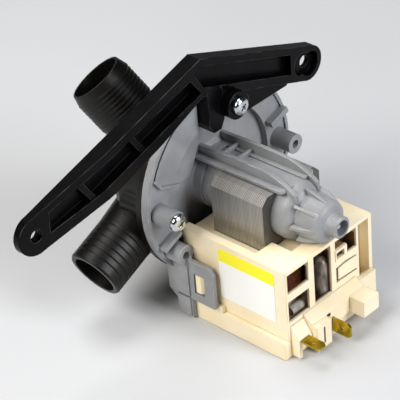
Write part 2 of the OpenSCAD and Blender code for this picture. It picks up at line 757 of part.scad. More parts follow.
// bobbin round one leg and its winding
module bobbin(side) {
    y = side * leg_mid;
    color("#efe6cc") placed() difference() {
        union() {
            for (z = [coil_bottom, coil_top - bobbin_disc]) {
                box(stack_mid - core_out_x - wire_d - 0.4, stack_mid + core_out_x + wire_d + 0.4,
                    y - core_out_y - wire_d - 0.2, y + core_out_y + wire_d + 0.2, z, z + bobbin_disc);
            }
            box(stack_mid - bobbin_out_x, stack_mid + bobbin_out_x, y - bobbin_out_y, y + bobbin_out_y,
                coil_bottom, coil_top);
        }
        box(stack_start - hole_gap, stack_end + hole_gap, y - leg_w / 2 - hole_gap,
            y + leg_w / 2 + hole_gap,
            coil_bottom - 1, coil_top + 1);
    }
}

// one unbroken wire, 24 rings to the turn round a rectangle with rounded corners
corner_r = core_wall * 0.7;
function quarter(i) = floor((i % loop_rings) / 6);
function wire_angle(i) = quarter(i) * 90 + min((i % loop_rings) % 6, 5) * ((i % 6) == 5 ? 18 : 22.5);
function wire_normal(i) = [cos(wire_angle(i)), sin(wire_angle(i)), 0];
function corner_sign(q) = [(q == 0 || q == 3) ? 1 : -1, q < 2 ? 1 : -1];
function wire_flat(i) = let (q = quarter(i), s = corner_sign(q), a = wire_angle(i),
    r = corner_r + wire_d / 2 + 0.03)
    (i % 6) == 5
    ? [(q % 2 == 0 ? 0 : s[0] * (core_out_x + wire_d / 2 + 0.03)),
        (q % 2 == 0 ? s[1] * (core_out_y + wire_d / 2 + 0.03) : 0)]
    : [s[0] * (core_out_x - corner_r) + r * cos(a), s[1] * (core_out_y - corner_r) + r * sin(a)];
function wire_point(i) = [wire_flat(i)[0], wire_flat(i)[1],
    coil_bottom + bobbin_disc + 0.2 + wire_d / 2 + pitch * i / loop_rings];
wire_last = loops * loop_rings;
function wire_ring(i) = [for (k = [0:wire_sides - 1]) let (b = 360 * k / wire_sides)
    wire_point(i) + wire_d / 2 * (cos(b) * wire_normal(i) + sin(b) * [0, 0, 1])];
wire_gap = min([for (i = [0:wire_last - loop_rings]) norm(wire_point(i + loop_rings) - wire_point(i))])
    - wire_d;
echo(wire_gap = wire_gap);

module wire_layer() {
    n = wire_sides;
    points = [for (i = [0:wire_last]) each wire_ring(i)];
    sides = [for (i = [0:wire_last - 1]) for (k = [0:n - 1]) each [
        [i * n + k, i * n + (k + 1) % n, (i + 1) * n + k],
        [i * n + (k + 1) % n, (i + 1) * n + (k + 1) % n, (i + 1) * n + k]]];
    first = [for (k = [1:n - 2]) [0, k + 1, k]];
    last = [for (k = [1:n - 2]) [wire_last * n, wire_last * n + k, wire_last * n + k + 1]];
    polyhedron(points, concat(sides, first, last));
}

module winding(side) {
    y = side * leg_mid;
    x_in = bobbin_out_x + 0.05;
    y_in = bobbin_out_y + 0.05;
    z0 = coil_bottom + bobbin_disc + 0.1;
    z1 = coil_top - bobbin_disc - 0.1;
    color("#7a3d1c") placed() translate([stack_mid, y, 0]) union() {
        difference() {
            union() {
                box(-core_out_x + corner_r, core_out_x - corner_r, -core_out_y, core_out_y, z0, z1);
                box(-core_out_x, core_out_x, -core_out_y + corner_r, core_out_y - corner_r, z0, z1);
                for (i = [-1, 1]) {
                    for (j = [-1, 1]) {
                        translate([i * (core_out_x - corner_r), j * (core_out_y - corner_r), z0])
                            cylinder(r = corner_r, h = z1 - z0);
                    }
                }
            }
            box(-x_in, x_in, -y_in, y_in, z0 - 1, z1 + 1);
        }
        wire_layer();
    }
}

module bobbin_near() {
    bobbin(-1);
}

module bobbin_far() {
    bobbin(1);
}

module winding_near() {
    winding(-1);
}

module winding_far() {
    winding(1);
}

// slots for the two blade terminals
module tab_slots() {
    box(tab_in - 1, base_front + 9, tab_flat_y - tab_flat_w / 2 - seat_gap,
        tab_flat_y + tab_flat_w / 2 + seat_gap,
        tab_flat_z - tab_t / 2 - seat_gap, tab_flat_z + tab_t / 2 + seat_gap);
    box(tab_in - 1, base_front + 9, tab_upright_y - tab_t / 2 - seat_gap,
        tab_upright_y + tab_t / 2 + seat_gap,
        tab_upright_z - tab_upright_w / 2 - seat_gap, tab_upright_z + tab_upright_w / 2 + seat_gap);
}

// cream cover over the coils
module cover_hollow() {
    box(cover_start + cover_wall, cover_end - cover_wall, -cover_half_w + cover_wall,
        cover_half_w - cover_wall,
        base_top - 1, floor_z - floor_t);
    box(notch_x + 1.4, cover_end - cover_wall, -cover_half_w + cover_wall, cover_half_w - cover_wall,
        base_top - 1, cover_top - cover_wall);
    for (y = [-cover_half_w + cover_wall, notch_y + 1.4]) {
        box(stack_end + 1.6, notch_x + 2, y, y + cover_half_w - cover_wall - notch_y - 1.4, base_top - 1,
            cover_top - cover_wall);
    }
}

module end_window(y0, y1, z0, z1) {
    box(cover_end - window_back, cover_end + window_front, y0, y1, z0, z1);
}

module coil_cover() {
    color("#f6e9c8") placed() difference() {
        union() {
            difference() {
                box(cover_start, cover_end, -cover_half_w, cover_half_w, base_top + seat_gap, cover_top);
                cover_hollow();
                box(cover_start - 1, stack_end + 0.2, -trough_y, trough_y, floor_z, 0);
                box(cover_start - 1, notch_x, -notch_y, notch_y, floor_z, 0);
            }
            box(cover_end - 8.4, cover_end - 1, fuse_y - sleeve_r - 1, fuse_y + sleeve_r + 1,
                fuse_z - 1.4, fuse_z - 0.05);
            box(cover_end - clip_depth, cover_end + 0.3, clip_y0, clip_y1, clip_z0, clip_z1);
            box(cover_end - channel_depth - 1.6, cover_end - channel_depth + 0.4, channel_y0 - 0.9,
                cover_half_w - 0.5,
                base_top + seat_gap, cover_top - 0.5);
            box(cover_end - channel_depth - 1.6, cover_end - 1, channel_y0 - 1.2, channel_y0,
                base_top + seat_gap, cover_top - 0.5);
            plate_z(base_top + 6, -26.4, [[11.4, -cover_half_w + 0.5], [15.6, -cover_half_w + 0.5],
                [15.6, latch_y1 + 0.2], [14, latch_y0 + 0.4], [11.4, latch_y0 + 0.4]]);
        }
        for (y = [-leg_mid, leg_mid]) {
            box(stack_start - hole_gap, stack_end + hole_gap, y - leg_w / 2 - hole_gap,
                y + leg_w / 2 + hole_gap,
                floor_z - 4, 0);
        }
        end_window(-cover_half_w + 1, -12, -19.5, window_top);
        end_window(-cover_half_w + 1, -12, window_low, -23);
        end_window(-8.9, 0.8, window_low, window_top);
        box(cover_end - clip_depth + 1, cover_end + window_front, clip_y0 + 0.7, clip_y1 - 1.6,
            clip_z0 + 0.8, clip_z1 - 1.1);
        plate_x(cover_end - window_back, cover_end + window_front, [[clip_y0 + 0.2, clip_z1 + 0.1],
            [clip_y1 + 0.1, clip_z1 + 0.1],
            [clip_y1 + 0.1, clip_z0 + 0.4], [window_right, clip_z0 + 0.4], [window_right, window_top],
            [clip_y0 + 0.2, window_top]]);
        box(cover_end - channel_depth, cover_end + window_front, channel_y0, cover_half_w - 2,
            window_low - 3, cover_top - 1.3);
        end_window(tongue_y0, tongue_y0 + tongue_slot, tongue_z0, tongue_z1);
        plate_x(cover_end - window_back, cover_end + window_front, [[tongue_y0 + 0.1,
            tongue_z1 - tongue_slot], [tongue_y0 + 0.1, tongue_z1 - 0.1],
            [tongue_y0 + 5, tongue_z1 + 0.5], [tongue_y1, tongue_z1 - 0.2], [tongue_y1, tongue_z1 - 0.7],
            [tongue_y0 + 5, tongue_z1 - 0.5]]);
        plate_x(cover_end - window_back, cover_end + window_front, [[tongue_y0 + 0.1,
            tongue_z0 + tongue_slot], [tongue_y0 + 0.1, tongue_z0 + 0.1],
            [tongue_y1, tongue_z0 - 0.2], [tongue_y1, tongue_z0 + 0.4]]);
        tab_slots();
    }
}

// cream base with sloping shelf, apron, post, key block and the room for the yoke
module terminal_base() {
    inner = 1.8;
    shelf = [[cover_end + seat_gap, base_bottom + 1], [cover_end + seat_gap, shelf_back], [base_front,
        shelf_front],
        [base_front, base_bottom + 1]];
    low_shelf = [[cover_end + seat_gap, base_bottom + 1], [cover_end + seat_gap, shelf_back - 1.4],
        [base_front, shelf_low], [base_front, base_bottom + 1]];
    color("#f3e4c0") placed() difference() {
        union() {
            box(cover_start, cover_end, -cover_half_w - base_ledge, cover_half_w - 0.8, base_bottom,
                base_top);
            plate_y(-cover_half_w - base_ledge, -cover_half_w - seat_gap, [[cover_start, base_top - 1],
                [22.8, base_top - 1], [22.8, base_top + 2.4], [cover_start, base_top + 2.4]]);
            plate_y(-16.2, 14.4, shelf);
            plate_y(blade_side, -16, low_shelf);
            box(cover_end - 2, cover_end + 2.2, -16, cover_half_w - 0.8, base_bottom + 1, base_top);
            box(cover_end + seat_gap, cover_end + 2.2, 14, cover_half_w - 0.8, base_bottom + 3,
                shelf_back - 1.4);
            box(base_front - 1, base_front + 2.6, post_y0, post_y1, base_bottom + 1, shelf_front - 0.6);
            box(base_front - 1, base_front + 7, 5.6, 14.4, shelf_front - 6.8, shelf_front + 0.2);
            box(cover_end - 2, base_front - 2, blade_side, 14, base_bottom + 1, base_top);
        }
        difference() {
            box(cover_start + inner, cover_end - 0.4, -cover_half_w + inner, cover_half_w - inner - 0.8,
                base_bottom + 2, base_top + 1);
            box(stack_start - 1.6, stack_end + 1.6, -pole_out - 1.6, pole_out + 1.6, base_bottom, base_top);
        }
        box(stack_start - yoke_room, stack_end + yoke_room, -pole_out - yoke_room, pole_out + yoke_room,
            base_bottom - 1, base_top + 1);
        tab_slots();
        box(base_front + 1.6, base_front + 4, slit_y - 0.4, slit_y + 0.4, base_bottom + 3,
            shelf_front - 2.2);
        box(base_front - 1.6, base_front + 4, post_y1 + 0.5, post_y1 + 2.6, shelf_front - 2.2,
            shelf_front - 0.6);
        box(cover_end + 1.6, base_front + 4, blade_side + 1.5, post_y0 + 0.2, base_bottom - 1,
            tab_flat_z - tab_t / 2 - 1.1);
        translate([0, 2.6, base_bottom + 1.2]) rod(4.2, cover_end + 2.6, base_front + 9);
        box(cover_end + 2.6, base_front + 9, 2.6, 30, base_bottom - 1, shelf_front - 6.8);
    }
}

// blade terminals with hole and bevelled tip
module blade(w, hole_x) {
    difference() {
        translate([0, 0, -tab_t / 2]) linear_extrude(height = tab_t) polygon([[tab_in, -w / 2],
            [tab_front - 1.4, -w / 2], [tab_front, -w / 2 + 1], [tab_front, w / 2 - 1],
                [tab_front - 1.4, w / 2],
            [tab_in, w / 2]]);
        translate([hole_x, 0, -tab_t]) cylinder(r = blade_hole_r, h = 2 * tab_t);
    }
}

module terminal_flat() {
    color("#c9a227") placed() translate([0, tab_flat_y, tab_flat_z]) blade(tab_flat_w,
        tab_front - flat_hole_back);
}

module terminal_upright() {
    color("#c9a227") placed() translate([0, tab_upright_y, tab_upright_z]) rotate([90, 0, 0])
        blade(tab_upright_w, tab_front - upright_hole_back);
}

// overheat fuse in its sleeve, lead sleeve beside the coil
fuse_back = 4.7;
fuse_x = cover_end - fuse_back;
fuse_y = 0.2;
fuse_z = window_low - 3.7;
fuse_r = 2;
fuse_len = 14;
sleeve_wall = 0.84;
sleeve_r = fuse_r + 0.06 + sleeve_wall;
sleeve_len = fuse_len + 1.2;
lead_len = 8.4;
lead_r = 1.9;
lead_x = fuse_x + 0.4;
lead_y = -18.6;
lead_z = window_low + 0.4;

module thermal_fuse() {
    color("#b9bcc0") placed() translate([fuse_x, fuse_y, fuse_z + 1.6]) cylinder(r = fuse_r, h = fuse_len);
}

module fuse_sleeve() {
    color("#8f8b86") placed() translate([fuse_x, fuse_y, fuse_z]) difference() {
        union() {
            cylinder(r = sleeve_r, h = sleeve_len);
            translate([0, 0, sleeve_len]) sphere(r = sleeve_r);
        }
        translate([0, 0, 1.4]) cylinder(r = fuse_r + 0.06, h = fuse_len + 0.4);
    }
}

module lead_sleeve() {
    color("#a8a39a") placed() translate([lead_x, lead_y, lead_z])
        rotate([-90, 0, 0]) cylinder(r = lead_r, h = lead_len);
}

label_len = 27.5;
label_end_margin = 5.5;
label_foot_margin = 6.4;
label_top_margin = 2.5;
label_corner = 1.2;
label_x1 = cover_end - label_end_margin;
label_x0 = label_x1 - label_len;
label_z0 = base_top + label_foot_margin;
label_z1 = cover_top - label_top_margin;

module rating_label() {
    color("#f4f4ee") placed() plate_y(-cover_half_w - 0.2, -cover_half_w - 0.02, concat(
        arc(label_x0 + label_corner, label_z0 + label_corner, label_corner, 180, 270, 4),
        arc(label_x1 - label_corner, label_z0 + label_corner, label_corner, 270, 360, 4),
        arc(label_x1 - label_corner, label_z1 - label_corner, label_corner, 0, 90, 4),
        arc(label_x0 + label_corner, label_z1 - label_corner, label_corner, 90, 180, 4)));
}

// screws
module screw(seat) {
    rod(screw_r, screw_tip, seat + 0.4);
    translate([seat, 0, 0]) rotate([0, 90, 0]) cylinder(r = head_r, h = head_h * 0.5);
    translate([seat + head_h * 0.5, 0, 0]) rotate([0, 90, 0]) cylinder(r1 = head_r, r2 = head_r - 1.2,
        h = head_h * 0.5);
}

module flange_screws() {
    color("#c9ccd0") placed() union() {
        at_angle(180, boss_ring_r) screw(boss_len + 0.02);
        at_angle(-side_angle, side_ring_r) screw(side_boss_len + 0.02);
    }
}

module bracket_screw() {
    color("#c9ccd0") placed() at_angle(top_angle, boss_ring_r) screw(collar_end + 0.02);
}

volute_body();
mounting_bracket();
motor_flange();
chamber_seal();
impeller();
impeller_cap();
drive_dog();
rotor_shaft();
magnet();
magnet_carrier();
thrust_washers();
front_bearing();
bearing_holder();
shaft_seal();
rear_bearing();
rear_grommet();
stator_core();
bobbin_near();
bobbin_far();
winding_near();
winding_far();
coil_cover();
terminal_base();
terminal_flat();
terminal_upright();
thermal_fuse();
fuse_sleeve();
lead_sleeve();
rating_label();
flange_screws();
bracket_screw();
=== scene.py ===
import math
import bmesh
import bpy
from mathutils import Matrix, Vector


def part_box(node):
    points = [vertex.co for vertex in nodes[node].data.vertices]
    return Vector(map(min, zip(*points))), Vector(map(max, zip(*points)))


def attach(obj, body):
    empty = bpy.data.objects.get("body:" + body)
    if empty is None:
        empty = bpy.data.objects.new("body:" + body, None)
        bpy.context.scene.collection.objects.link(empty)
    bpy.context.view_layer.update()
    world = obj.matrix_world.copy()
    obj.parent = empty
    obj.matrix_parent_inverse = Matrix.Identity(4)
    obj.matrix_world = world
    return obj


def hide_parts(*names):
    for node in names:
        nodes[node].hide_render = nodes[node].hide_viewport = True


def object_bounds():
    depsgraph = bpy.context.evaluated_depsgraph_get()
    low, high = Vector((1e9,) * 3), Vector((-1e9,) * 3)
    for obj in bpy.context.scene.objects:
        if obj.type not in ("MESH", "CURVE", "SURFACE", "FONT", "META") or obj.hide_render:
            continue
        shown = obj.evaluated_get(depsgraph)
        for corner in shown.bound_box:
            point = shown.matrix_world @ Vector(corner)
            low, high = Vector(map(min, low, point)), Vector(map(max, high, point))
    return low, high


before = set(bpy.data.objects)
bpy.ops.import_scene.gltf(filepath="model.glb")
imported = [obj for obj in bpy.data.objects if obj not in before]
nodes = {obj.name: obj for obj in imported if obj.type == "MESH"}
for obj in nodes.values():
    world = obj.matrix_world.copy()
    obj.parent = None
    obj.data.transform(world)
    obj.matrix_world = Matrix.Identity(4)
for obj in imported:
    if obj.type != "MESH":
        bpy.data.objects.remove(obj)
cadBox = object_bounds()
print("frame loaded with", len(nodes), "nodes")

mm = 0.001
toneStops = (0.3, 0.7)  # where a noise reaches its darker and its lighter tone
softDetail, fineDetail = 2.0, 3.0  # octaves of slow clouds and of fine grain
edgeSamples = 6  # rays that soften an edge
materials = {}


def perMm(size):
    return 1 / (size * mm)  # texture scale for a pattern of that size in millimetres


def linear(hexColour):
    parts = [int(hexColour[i:i + 2], 16) / 255 for i in (1, 3, 5)]
    return [c / 12.92 if c <= 0.04045 else ((c + 0.055) / 1.055) ** 2.4 for c in parts] + [1]


def addNode(tree, kind, settings, links=None):
    node = tree.nodes.new(kind)
    for key, value in settings.items():
        if key == "stops":
            for stop, (place, tone) in zip(node.color_ramp.elements, value):
                stop.position = place
                stop.color = linear(tone)
        elif isinstance(key, int) or key in node.inputs:
            node.inputs[key].default_value = linear(value) if isinstance(value, str) else value
        else:
            setattr(node, key, value)
    for key, source in (links or {}).items():
        tree.links.new(source, node.inputs[key])
    return node


def startMaterial(name):
    materials[name] = bpy.data.materials.new(name)
    materials[name].use_nodes = True
    tree = materials[name].node_tree
    tree.nodes.clear()
    return tree, addNode(tree, "ShaderNodeTexCoord", {}).outputs["Object"]


# moulded plastics: a fine spark-eroded grain, slow clouds from the melt and softened edges that
# catch the light; cloud, grain and edge in millimetres
# the real grain is about 0.1 mm, drawn at 0.3 to 0.45 mm so that it shows
plastics = {
    # smooth black bar with a low gloss, its edges painted grey: partly rubbed wear, partly painted
    # highlight where the edges catch the light
    "mouldedBlackPolypropylene": dict(
        tones=("#040405", "#0a0a0c"), cloud=8, grain=0.4, rough=(0.24, 0.36), edge=0.45,
        bump=0.25, ior=1.17, skin=0, wearAndGlint="#4a4b4d"),
    # talc makes the black duller and a little brown
    "talcFilledBlackPolypropylene": dict(
        tones=("#060504", "#0b0a08"), cloud=7, grain=0.4, rough=(0.33, 0.45), edge=0.3,
        bump=0.3, ior=1.36, skin=0),
    # satin grey with painted shade darkening its corners and its edges painted pale: partly rubbed
    # wear, partly painted highlight where the edges catch the light
    "mouldedGreyPolypropylene": dict(
        tones=("#818386", "#95979a"), cloud=11, grain=0.45, rough=(0.36, 0.5), edge=0.4,
        bump=0.2, ior=1.49, skin=0, cornerShade="#2b2d30", wearAndGlint="#c6c9cc"),
    # warm cream that lets a little light into its skin
    "mouldedCreamPolyester": dict(
        tones=("#f3e2bc", "#faecd0"), cloud=14, grain=0.45, rough=(0.34, 0.46), edge=0.6,
        bump=0.16, ior=1.57, skin=0.06, cornerShade="#57452c"),
    # deep brown with a dry sheen
    "mouldedBrownPolyamide": dict(
        tones=("#1d130d", "#2b1c14"), cloud=6, grain=0.4, rough=(0.36, 0.5), edge=0.25,
        bump=0.2, ior=1.53, skin=0),
    # milky white and smooth
    "mouldedWhiteAcetal": dict(
        tones=("#dad6ca", "#ece9df"), cloud=9, grain=0.4, rough=(0.3, 0.42), edge=0.25,
        bump=0.12, ior=1.48, skin=0.05),
    # dull black with hardly any gloss
    "mouldedBlackRubber": dict(
        tones=("#121213", "#1e1e20"), cloud=4, grain=0.3, rough=(0.62, 0.8), edge=0.2,
        bump=0.3, ior=1.52, skin=0),
}
# the cover is the same cream with painted shade inside: its inside, which lies in shadow, is
# darkened to brown; its walls in millimetres tell inside from outside
plastics["creamPolyesterShadedInside"] = dict(
    plastics["mouldedCreamPolyester"], insideShade="#7a5c42", wall=1.5, endWall=1.2, channel=8.2, rim=4)
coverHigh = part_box("coil_cover")[1]
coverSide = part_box("rating_label")[1].y
relief = dict(bumpHeight=0.05, skinDepth=0.8)  # of all plastics, in millimetres
# painted shade: corners and slots narrower than its reach in millimetres are darkened on the light
# plastics, standing in for the shade that falls there
shelterAndShade = dict(reach=3, shut=0.15, open=0.58, samples=8)
# the edges of the bracket and of the grey moulding are painted lighter, in patches of a few
# millimetres and only where a hand gets to: partly wear from handling, partly painted highlight
# where the edges catch the light
scuffAndGlint = dict(turn=(0.12, 0.45), patch=5, patchFade=(0.42, 0.62), openFade=(0.65, 0.85))

for name, look in plastics.items():
    tree, place = startMaterial(name)
    cloud = addNode(tree, "ShaderNodeTexNoise",
                    {"Scale": perMm(look["cloud"]), "Detail": softDetail}, {"Vector": place})
    grain = addNode(tree, "ShaderNodeTexNoise",
                    {"Scale": perMm(look["grain"]), "Detail": fineDetail}, {"Vector": place})
    tone = addNode(tree, "ShaderNodeValToRGB", {"stops": zip(toneStops, look["tones"])},
                   {"Fac": cloud.outputs["Fac"]})
    edge = addNode(tree, "ShaderNodeBevel",
                   {"Radius": look["edge"] * mm, "samples": edgeSamples})
    if "wearAndGlint" in look or "cornerShade" in look:
        shelter = addNode(tree, "ShaderNodeAmbientOcclusion",
                          {"samples": shelterAndShade["samples"], "only_local": True,
                           "Distance": shelterAndShade["reach"] * mm})
    # edges painted lighter in patches: partly rubbed wear, partly painted highlight where the
    # edges catch the light
    if "wearAndGlint" in look:
        flat = addNode(tree, "ShaderNodeNewGeometry", {})
        turned = addNode(tree, "ShaderNodeVectorMath", {"operation": "DISTANCE"},
                         {0: edge.outputs["Normal"], 1: flat.outputs["Normal"]})
        ridge = addNode(tree, "ShaderNodeMapRange",
                        {"From Min": scuffAndGlint["turn"][0], "From Max": scuffAndGlint["turn"][1]},
                        {"Value": turned.outputs["Value"]})
        patch = addNode(tree, "ShaderNodeTexNoise",
                        {"Scale": perMm(scuffAndGlint["patch"]), "Detail": fineDetail},
                        {"Vector": place})
        patchy = addNode(tree, "ShaderNodeMapRange",
                         {"From Min": scuffAndGlint["patchFade"][0], "From Max": scuffAndGlint["patchFade"][1]},
                         {"Value": patch.outputs["Fac"]})
        reached = addNode(tree, "ShaderNodeMapRange",
                          {"From Min": scuffAndGlint["openFade"][0], "From Max": scuffAndGlint["openFade"][1]},
                          {"Value": shelter.outputs["AO"]})
        patchyRidge = addNode(tree, "ShaderNodeMath", {"operation": "MULTIPLY"},
                              {0: ridge.outputs["Result"], 1: patchy.outputs["Result"]})
        wornAndGlint = addNode(tree, "ShaderNodeMath", {"operation": "MULTIPLY"},
                       {0: patchyRidge.outputs["Value"], 1: reached.outputs["Result"]})
        tone = addNode(tree, "ShaderNodeMixRGB", {"Color2": look["wearAndGlint"]},
                       {"Fac": wornAndGlint.outputs["Value"], "Color1": tone.outputs["Color"]})
    # painted shade: sheltered corners and slots are darkened towards the shade tone
    if "cornerShade" in look:
        shadeAmount = addNode(tree, "ShaderNodeMapRange",
                          {"From Min": shelterAndShade["shut"], "From Max": shelterAndShade["open"],
                           "To Min": 1.0, "To Max": 0.0},
                          {"Value": shelter.outputs["AO"]})
        tone = addNode(tree, "ShaderNodeMixRGB", {"Color2": look["cornerShade"]},
                       {"Fac": shadeAmount.outputs["Result"], "Color1": tone.outputs["Color"]})
    # painted shade: the inside of the cover is darkened to brown where it lies in shadow
    if "insideShade" in look:
        axes = addNode(tree, "ShaderNodeSeparateXYZ", {}, {"Vector": place})
        limits = [("X", "LESS_THAN", coverHigh.x - look["endWall"] * mm),
                  ("Y", "GREATER_THAN", coverSide + look["wall"] * mm),
                  ("Y", "LESS_THAN", coverHigh.y - look["channel"] * mm),
                  ("Z", "LESS_THAN", coverHigh.z - look["rim"] * mm)]
        tests = [addNode(tree, "ShaderNodeMath", {"operation": side, 1: limit},
                         {0: axes.outputs[axis]}) for axis, side, limit in limits]
        inside = tests[0]
        for test in tests[1:]:
            inside = addNode(tree, "ShaderNodeMath", {"operation": "MULTIPLY"},
                             {0: inside.outputs["Value"], 1: test.outputs["Value"]})
        tone = addNode(tree, "ShaderNodeMixRGB", {"Color2": look["insideShade"]},
                       {"Fac": inside.outputs["Value"], "Color1": tone.outputs["Color"]})
    rough = addNode(tree, "ShaderNodeMapRange",
                    {"To Min": look["rough"][0], "To Max": look["rough"][1]},
                    {"Value": grain.outputs["Fac"]})
    bump = addNode(tree, "ShaderNodeBump",
                   {"Strength": look["bump"], "Distance": relief["bumpHeight"] * mm},
                   {"Height": grain.outputs["Fac"], "Normal": edge.outputs["Normal"]})
    shader = addNode(tree, "ShaderNodeBsdfPrincipled",
                     {"IOR": look["ior"], "Subsurface Weight": look["skin"],
                      "Subsurface Scale": relief["skinDepth"] * mm},
                     {"Base Color": tone.outputs["Color"], "Roughness": rough.outputs["Result"],
                      "Normal": bump.outputs["Normal"]})
    addNode(tree, "ShaderNodeOutputMaterial", {}, {"Surface": shader.outputs["BSDF"]})
print("plastics mixed")

# electrical sheet, punched and stacked: each sheet has its own tone and the cut edges give fine
# upright lines; real sheets are 0.5 mm, drawn 0.7 mm so that the lines show
# on the slopes the stepped edges scatter the light, so they are duller; their own tone, lighter
# and more strongly lined, is partly those edges and partly painted light where the slopes catch
# the light
stack = dict(
    sheet=0.7, tones=("#676663", "#bbbab7"), toneStops=(0.0, 0.75), rough=0.4,
    slopeFrom=(0.3, 0.6), slopeLitTones=("#2b2a29", "#b1afac"), slopeLitStops=(0.15, 0.55),
    slopeRough=0.75,
    meanTone=0.26, ownTone=0.14, jointWidth=0.2, jointDepth=0.25,
    burr=0.7, burrRough=0.08, bump=0.2, bumpHeight=0.06)
tree, place = startMaterial("punchedElectricalSteel")
axes = addNode(tree, "ShaderNodeSeparateXYZ", {}, {"Vector": place})
along = addNode(tree, "ShaderNodeMath", {"operation": "MULTIPLY", 1: perMm(stack["sheet"])},
                {0: axes.outputs["X"]})
sheet = addNode(tree, "ShaderNodeMath", {"operation": "FLOOR"}, {0: along.outputs["Value"]})
chance = addNode(tree, "ShaderNodeTexWhiteNoise", {"noise_dimensions": "1D"},
                 {"W": sheet.outputs["Value"]})
own = addNode(tree, "ShaderNodeMath",
              {"operation": "MULTIPLY_ADD", 1: stack["ownTone"], 2: stack["meanTone"]},
              {0: chance.outputs["Value"]})
joint = addNode(tree, "ShaderNodeMath", {"operation": "PINGPONG", 1: 0.5},
                {0: along.outputs["Value"]})  # from 0 at a joint to 0.5 in the middle of a sheet
gap = addNode(tree, "ShaderNodeMapRange",
              {"From Max": stack["jointWidth"],
               "To Min": -stack["jointDepth"], "To Max": stack["jointDepth"]},
              {"Value": joint.outputs["Value"]})
level = addNode(tree, "ShaderNodeMath", {"operation": "ADD"},
                {0: own.outputs["Value"], 1: gap.outputs["Result"]})
tone = addNode(tree, "ShaderNodeValToRGB", {"stops": zip(stack["toneStops"], stack["tones"])},
               {"Fac": level.outputs["Value"]})
# painted light: upward-facing slopes get their own lighter, more strongly lined tone
slopeLitTone = addNode(tree, "ShaderNodeValToRGB",
                    {"stops": zip(stack["slopeLitStops"], stack["slopeLitTones"])},
                    {"Fac": level.outputs["Value"]})
surface = addNode(tree, "ShaderNodeNewGeometry", {})
facing = addNode(tree, "ShaderNodeSeparateXYZ", {}, {"Vector": surface.outputs["Normal"]})
slope = addNode(tree, "ShaderNodeMapRange",
                {"From Min": stack["slopeFrom"][0], "From Max": stack["slopeFrom"][1]},
                {"Value": facing.outputs["Z"]})
colour = addNode(tree, "ShaderNodeMixRGB", {},
                 {"Fac": slope.outputs["Result"], "Color1": tone.outputs["Color"],
                  "Color2": slopeLitTone.outputs["Color"]})
dull = addNode(tree, "ShaderNodeMapRange",
               {"To Min": stack["rough"], "To Max": stack["slopeRough"]},
               {"Value": slope.outputs["Result"]})
burr = addNode(tree, "ShaderNodeTexNoise",
               {"Scale": perMm(stack["burr"]), "Detail": fineDetail}, {"Vector": place})
rough = addNode(tree, "ShaderNodeMath", {"operation": "MULTIPLY_ADD", 1: stack["burrRough"]},
                {0: burr.outputs["Fac"], 2: dull.outputs["Result"]})
bump = addNode(tree, "ShaderNodeBump",
               {"Strength": stack["bump"], "Distance": stack["bumpHeight"] * mm},
               {"Height": level.outputs["Value"]})
shader = addNode(tree, "ShaderNodeBsdfPrincipled", {"Metallic": 1.0},
                 {"Base Color": colour.outputs["Color"], "Roughness": rough.outputs["Value"],
                  "Normal": bump.outputs["Normal"]})
addNode(tree, "ShaderNodeOutputMaterial", {}, {"Surface": shader.outputs["BSDF"]})

# other metals: fine lines or grain from how they were made, a little uneven in tone, edges
# rounded by the tool; line and edge in millimetres
# real lines and pores are a few hundredths of a millimetre, drawn coarser so that they show
metals = {
    # yellow, with lines along the strip
    "stampedBrass": dict(
        tones=("#9c8416", "#d0b636"), line=(0.25, 6, 6), rough=(0.18, 0.34), edge=0.12),
    # bright and a little cloudy
    "zincPlatedSteel": dict(
        tones=("#b9bcc0", "#dfe2e4"), line=(1.2, 1.2, 1.2), rough=(0.12, 0.26), edge=0.1),
    # bright, with fine rings from the grinding wheel
    "groundSteel": dict(
        tones=("#a9acb0", "#cfd2d5"), line=(0.2, 5, 5), rough=(0.16, 0.3), edge=0.12),
    # brown and dull, with open pores
    "sinteredBronze": dict(
        tones=("#7c5a30", "#a67f4c"), line=(0.3, 0.3, 0.3), rough=(0.4, 0.6), edge=0.12),
    # dark grey and stony
    "sinteredFerrite": dict(
        tones=("#2a2a2d", "#3c3c40"), line=(0.5, 0.5, 0.5), rough=(0.42, 0.6), edge=0.15),
}
tooling = dict(bump=0.1, bumpHeight=0.03)
for name, look in metals.items():
    tree, place = startMaterial(name)
    stretch = addNode(tree, "ShaderNodeMapping",
                      {"Scale": [perMm(size) for size in look["line"]]}, {"Vector": place})
    lines = addNode(tree, "ShaderNodeTexNoise", {"Scale": 1.0, "Detail": fineDetail},
                    {"Vector": stretch.outputs["Vector"]})
    tone = addNode(tree, "ShaderNodeValToRGB", {"stops": zip(toneStops, look["tones"])},
                   {"Fac": lines.outputs["Fac"]})
    rough = addNode(tree, "ShaderNodeMapRange",
                    {"To Min": look["rough"][0], "To Max": look["rough"][1]},
                    {"Value": lines.outputs["Fac"]})
    edge = addNode(tree, "ShaderNodeBevel",
                   {"Radius": look["edge"] * mm, "samples": edgeSamples})
    bump = addNode(tree, "ShaderNodeBump",
                   {"Strength": tooling["bump"], "Distance": tooling["bumpHeight"] * mm},
                   {"Height": lines.outputs["Fac"], "Normal": edge.outputs["Normal"]})
    shader = addNode(tree, "ShaderNodeBsdfPrincipled", {"Metallic": 1.0},
                     {"Base Color": tone.outputs["Color"], "Roughness": rough.outputs["Result"],
                      "Normal": bump.outputs["Normal"]})
    addNode(tree, "ShaderNodeOutputMaterial", {}, {"Surface": shader.outputs["BSDF"]})

